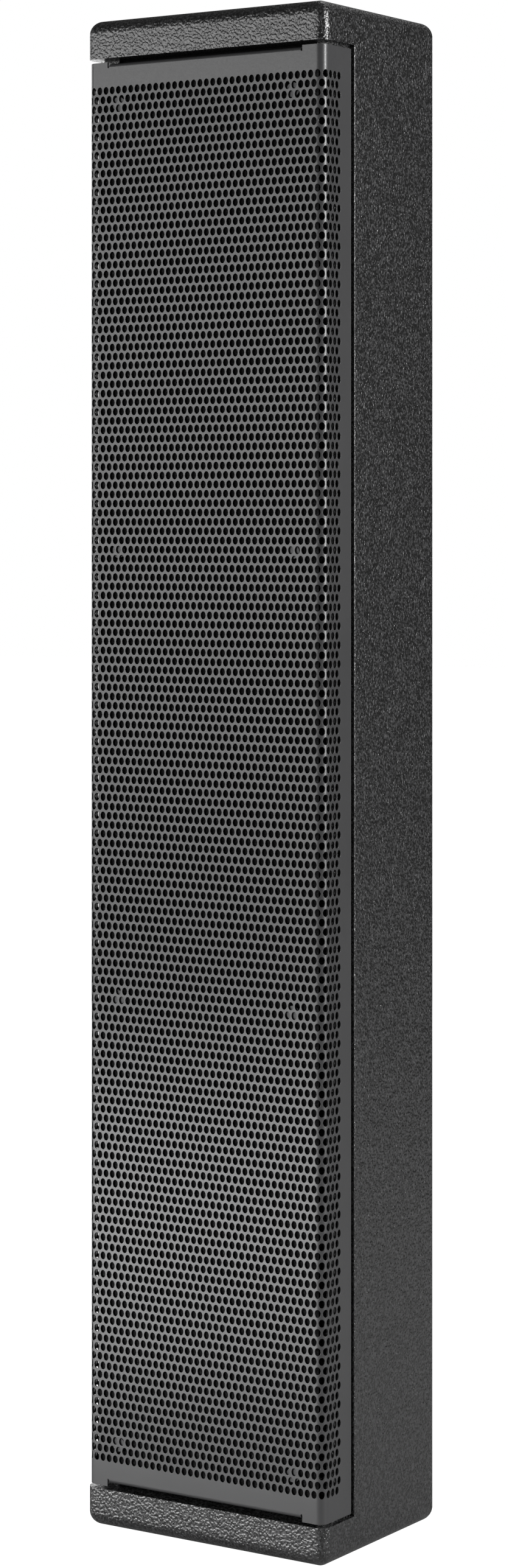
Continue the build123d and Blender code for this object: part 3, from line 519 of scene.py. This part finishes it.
FINISHES = {
    "cabinet_coating": cabinet_coating(),
    "grille_coating": grille_coating(),
    "bare_plywood": bare_plywood(),
    "open_cell_foam": open_cell_foam(),
    "spider_cloth": woven("spider_cloth", (0.42, 0.25, 0.10), (0.55, 0.36, 0.17), 0.6, 0.12),
    "felt": plain_finish("felt", (0.10, 0.10, 0.11), (0.17, 0.17, 0.18), 6, (0.9, 1.0), 0.8, 0.5, sheen=0.4),
    "gasket_foam": plain_finish("gasket_foam", (0.02, 0.02, 0.02), (0.04, 0.04, 0.04), 3, (0.8, 0.95), 0.6, 0.15),
    "black_nylon": plain_finish("black_nylon", (0.015, 0.015, 0.016), (0.025, 0.025, 0.026), 8, (0.4, 0.55), 0.5,
                                0.03),
    "cup_rubber": plain_finish("cup_rubber", (0.018, 0.018, 0.018), (0.03, 0.03, 0.03), 5, (0.6, 0.75), 0.4, 0.03),
    "surround_rubber": plain_finish("surround_rubber", (0.012, 0.012, 0.012), (0.022, 0.022, 0.022), 12,
                                    (0.45, 0.6), 0.5, 0.03),
    "socket_plastic": plain_finish("socket_plastic", (0.012, 0.013, 0.014), (0.022, 0.022, 0.023), 10, (0.3, 0.42),
                                   0.35, 0.015),
    "zinc_steel": plain_finish("zinc_steel", (0.52, 0.53, 0.55), (0.68, 0.68, 0.66), 4, (0.25, 0.42), 0.6, 0.01,
                               metallic=1.0),
    "magnet_steel": plain_finish("magnet_steel", (0.10, 0.10, 0.11), (0.20, 0.20, 0.20), 6, (0.45, 0.65), 0.8,
                                 0.03, metallic=0.6),
    "black_steel": plain_finish("black_steel", (0.02, 0.02, 0.021), (0.035, 0.035, 0.036), 20, (0.35, 0.5), 0.6,
                                0.02),
    "black_screw": plain_finish("black_screw", (0.03, 0.03, 0.032), (0.06, 0.06, 0.062), 2, (0.3, 0.45), 0.4,
                                0.01, metallic=0.8),
    "basket_paint": plain_finish("basket_paint", (0.014, 0.014, 0.015), (0.024, 0.024, 0.025), 15, (0.3, 0.45),
                                 0.8, 0.02),
    "circuit_board": plain_finish("circuit_board", (0.02, 0.10, 0.05), (0.03, 0.14, 0.07), 12, (0.3, 0.45), 1.6,
                                  0.02, coat=0.3),
    "copper_winding": plain_finish("copper_winding", (0.62, 0.26, 0.12), (0.80, 0.40, 0.22), 2, (0.25, 0.4), 0.9,
                                   0.12, metallic=1.0, stretch=(0.2, 1, 0.2)),
    "capacitor_sleeve": plain_finish("capacitor_sleeve", (0.55, 0.35, 0.05), (0.66, 0.44, 0.08), 9, (0.25, 0.4),
                                     1.2, 0.02, coat=0.2),
    "ceramic_resistor": plain_finish("ceramic_resistor", (0.62, 0.60, 0.55), (0.76, 0.74, 0.70), 4, (0.7, 0.9),
                                     0.5, 0.06),
    "wire_sleeve": plain_finish("wire_sleeve", (0.30, 0.015, 0.012), (0.42, 0.03, 0.02), 10, (0.35, 0.5), 0.9,
                                0.01),
    "terminal_tag": plain_finish("terminal_tag", (0.60, 0.56, 0.42), (0.74, 0.70, 0.56), 3, (0.25, 0.4), 0.4,
                                 0.01, metallic=1.0),
    "paper_cone": plain_finish("paper_cone", (0.035, 0.034, 0.033), (0.060, 0.058, 0.055), 4, (0.7, 0.9), 0.7,
                               0.10),
}

# The walls of the holes are painted near black as painted shade, and the baffle's face is stained, not sprayed.
hole_walls_painted_shade = plain_finish("hole_walls_painted_shade", (0.004, 0.004, 0.004), (0.008, 0.008, 0.008), 6, (0.55, 0.7), 0.5, 0.02,
                          specular=0.3)
matt_stain = plain_finish("matt_stain", (0.003, 0.003, 0.003), (0.006, 0.006, 0.006), 9, (0.8, 0.95), 0.7, 0.04,
                          specular=0.15, stretch=(1, 1, 0.1))


def dress(piece, slot, body, *nodes):
    """Gives a piece its finish and its body, and hides the CAD nodes that it stands for."""
    piece.data.materials.append(FINISHES[slot])
    if body:
        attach(piece, body)
    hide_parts(*nodes)


for cad_node in NODES.values():
    for held in cad_node.material_slots:
        held.material = FINISHES[held.material.name.split(".")[0]]
for held in NODES["driver_baffle"].material_slots:
    held.material = matt_stain

# ---- grille and foam ------------------------------------------------------------------------------------
for number in range(BAND_COUNT):
    band = grille_band(number)
    dress(band, "grille_coating", "cabinet", "grille")
    # The second material paints the walls of the holes near black as painted shade.
    band.data.materials.append(hole_walls_painted_shade)

foam = soft_copy("grille_foam", "foam_sheet", 1.9, 2, 0.45, 1.6)
dress(foam, "open_cell_foam", "cabinet", "grille_foam")

pads = soft_copy("damping_pads", "felt_pads", 2.6, 6, 1.4, 9.0)
dress(pads, "felt", "cabinet", "damping_pads")

# ---- driver suspension ----------------------------------------------------------------------------------
# Heights are in front of the baffle; radii are from each driver's axis.
DRIVER_Z = [CABINET_MIDDLE + DRIVER_PITCH * (n - (DRIVER_COUNT - 1) / 2) for n in range(DRIVER_COUNT)]
ROLL_INNER, ROLL_OUTER, SKIN = 50.0, 56.0, 0.6
OUTER_LIP, OUTER_LIP_EDGE = 2.55, 57.2
INNER_LIP, INNER_LIP_EDGE = -3.15, 47.8


def arc(centre_r, centre_h, radius, start, end, count):
    """Points of an arc in a turned profile. Angles run from the outward direction to the front, in degrees."""
    angles = np.radians(np.linspace(start, end, count))
    return [(centre_r + radius * math.cos(a), centre_h + radius * math.sin(a)) for a in angles]


def surround_profile():
    middle, radius = (ROLL_INNER + ROLL_OUTER) / 2, (ROLL_OUTER - ROLL_INNER) / 2
    springing = OUTER_LIP + SKIN
    outer = arc(middle, springing, radius, 0, 180, 19)
    leg = [(ROLL_INNER, h) for h in np.linspace(springing, INNER_LIP + SKIN + 0.3, 10)[1:]]
    foot = [(ROLL_INNER - 0.3, INNER_LIP + SKIN), (INNER_LIP_EDGE + 0.2, INNER_LIP + SKIN),
            (INNER_LIP_EDGE, INNER_LIP + SKIN / 2), (INNER_LIP_EDGE + 0.2, INNER_LIP)]
    inner_leg = [(ROLL_INNER + SKIN, h) for h in np.linspace(INNER_LIP, springing, 10)]
    inner = arc(middle, springing, radius - SKIN, 180, 0, 17)[1:]
    lip = [(ROLL_OUTER - SKIN, OUTER_LIP), (OUTER_LIP_EDGE - 0.2, OUTER_LIP),
           (OUTER_LIP_EDGE, OUTER_LIP + SKIN / 2), (OUTER_LIP_EDGE - 0.2, springing)]
    return (outer + leg + foot + inner_leg + inner + lip)[::-1]


SPIDER_INNER, SPIDER_FLAT, SPIDER_OUTER = 12.95, 35.6, 39.0
SPIDER_NECK, SPIDER_BASE, SPIDER_SKIN = -23.6, -30.15, 0.5
SPIDER_WAVES, SPIDER_DEPTH = 4, 0.9


def spider_profile():
    share = np.linspace(0, 1, 16 * SPIDER_WAVES + 1)
    ripple = SPIDER_DEPTH * np.sin(2 * math.pi * SPIDER_WAVES * share) * np.minimum(1, 4 * (1 - share))
    height = SPIDER_NECK + share * (SPIDER_BASE - SPIDER_NECK) + ripple
    radius = SPIDER_INNER + share * (SPIDER_FLAT - SPIDER_INNER)
    under = [*zip(radius, height), (SPIDER_OUTER, SPIDER_BASE)]
    return under + [(r, h + SPIDER_SKIN) for r, h in reversed(under)]


for number, z in enumerate(DRIVER_Z, start=1):
    roll = turned(f"surround_roll_{number}", surround_profile(), [z])
    dress(roll, "surround_rubber", None, f"driver_{number}_surround")
    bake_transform(roll)
    disc = turned(f"spider_disc_{number}", spider_profile(), [z])
    dress(disc, "spider_cloth", None, "driver_spiders")
    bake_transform(disc)

GASKET_INNER, GASKET_OUTER, GASKET_LOW, GASKET_HIGH = 58.2, 64.5, 0.05, 0.95
gasket_profile = (arc(GASKET_OUTER - 0.4, (GASKET_LOW + GASKET_HIGH) / 2, 0.4, -80, 80, 7)
                  + arc(GASKET_INNER + 0.4, (GASKET_LOW + GASKET_HIGH) / 2, 0.4, 100, 260, 7))
gaskets = turned("gasket_rings", gasket_profile[::-1], DRIVER_Z)
dress(gaskets, "gasket_foam", "cabinet", "driver_gaskets")

# ---- studio ---------------------------------------------------------------------------------------------
CAMERA_PLACE = (1.2241, -1.8602, 0.6270)
CAMERA_TURN = 33.468
CAMERA_LENS, CAMERA_SENSOR, CAMERA_SHIFT = 80.93, 36.0, -0.1625


def studio_floor():
    """A pale floor that runs well past the view on every side."""
    reach, squares = 12.0, 8
    line = np.linspace(-reach, reach, squares + 1) / MM
    x, y = np.meshgrid(line, line)
    points = np.stack([x, y, 0 * x], axis=-1).reshape(-1, 3)
    ids = np.arange(len(points)).reshape(x.shape)
    faces = np.stack([ids[:-1, :-1], ids[:-1, 1:], ids[1:, 1:], ids[1:, :-1]], axis=-1).reshape(-1, 4)
    floor = mesh_object("studio_floor", points, faces)
    material, tree, shader, coords = start_finish("studio_floor")
    tone = grain_noise(tree, coords, 900)
    tree.links.new(blend_colours(tree, tone, (0.36, 0.36, 0.36), (0.40, 0.40, 0.40)), shader.inputs["Base Color"])
    shader.inputs["Roughness"].default_value = 0.9
    shader.inputs["Emission Color"].default_value = (1, 1, 1, 1)
    seen = node(tree, "LightPath").outputs["Is Camera Ray"]
    tree.links.new(spread(tree, seen, 0.04, 0.97), shader.inputs["Emission Strength"])
    floor.data.materials.append(material)
    floor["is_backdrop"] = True


def softbox(name, azimuth, distance, height, width, tall, radiance, aim_height, spread_angle=180):
    """A rectangular area light round the object. Azimuth 0 is in front and 90 on the +X side; sizes in metres."""
    a = math.radians(azimuth)
    light = bpy.data.lights.new(name, "AREA")
    light.shape, light.size, light.size_y = "RECTANGLE", width, tall
    light.energy = radiance * math.pi * width * tall
    light.spread = math.radians(spread_angle)
    holder = bpy.data.objects.new(name, light)
    holder.location = (distance * math.sin(a), -distance * math.cos(a), height)
    aim = Vector((0, 0, aim_height)) - holder.location
    holder.rotation_euler = aim.to_track_quat("-Z", "Y").to_euler()
    holder.visible_camera = False
    bpy.context.scene.collection.objects.link(holder)


def studio_world():
    """White behind the object, and a dimmer even surround for its light."""
    world = bpy.data.worlds.new("studio_world")
    bpy.context.scene.world = world
    world.use_nodes = True
    tree = world.node_tree
    tree.nodes.clear()
    seen = node(tree, "Background", Color=(1, 1, 1, 1), Strength=1.0)
    around = node(tree, "Background", Color=(1, 1, 1, 1), Strength=0.10)
    which = node(tree, "MixShader")
    tree.links.new(node(tree, "LightPath").outputs["Is Camera Ray"], which.inputs[0])
    tree.links.new(around.outputs[0], which.inputs[1])
    tree.links.new(seen.outputs[0], which.inputs[2])
    node(tree, "OutputWorld", Surface=which.outputs[0])


studio_floor()
studio_world()
softbox("key_softbox", -36, 2.0, 0.66, 2.2, 1.3, 3.9, 0.5)
softbox("low_softbox", -36, 0.52, 0.08, 1.0, 0.30, 1.35, 0.06, spread_angle=80)
softbox("strip_softbox", 95, 1.8, 0.96, 0.26, 1.4, 40.0, 0.5)
softbox("back_softbox", 212, 2.4, 0.75, 1.5, 1.3, 2.5, 0.5)
softbox("far_softbox", -105, 2.2, 0.75, 1.1, 1.3, 2.0, 0.5)
softbox("top_softbox", 180, 0.9, 2.3, 1.0, 1.0, 1.5, 0.5)

lens = bpy.data.cameras.new("camera")
lens.sensor_width, lens.lens = CAMERA_SENSOR, CAMERA_LENS
lens.shift_y = CAMERA_SHIFT
lens.clip_start, lens.clip_end = 0.05, 50
camera = bpy.data.objects.new("camera", lens)
camera.location = CAMERA_PLACE
camera.rotation_euler = (math.radians(90), 0, math.radians(CAMERA_TURN))
bpy.context.scene.collection.objects.link(camera)
bpy.context.scene.camera = camera
bpy.context.scene.view_settings.view_transform = "Standard"

{"cad": [list(corner) for corner in cad_box], "visual": [list(corner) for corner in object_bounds()]}
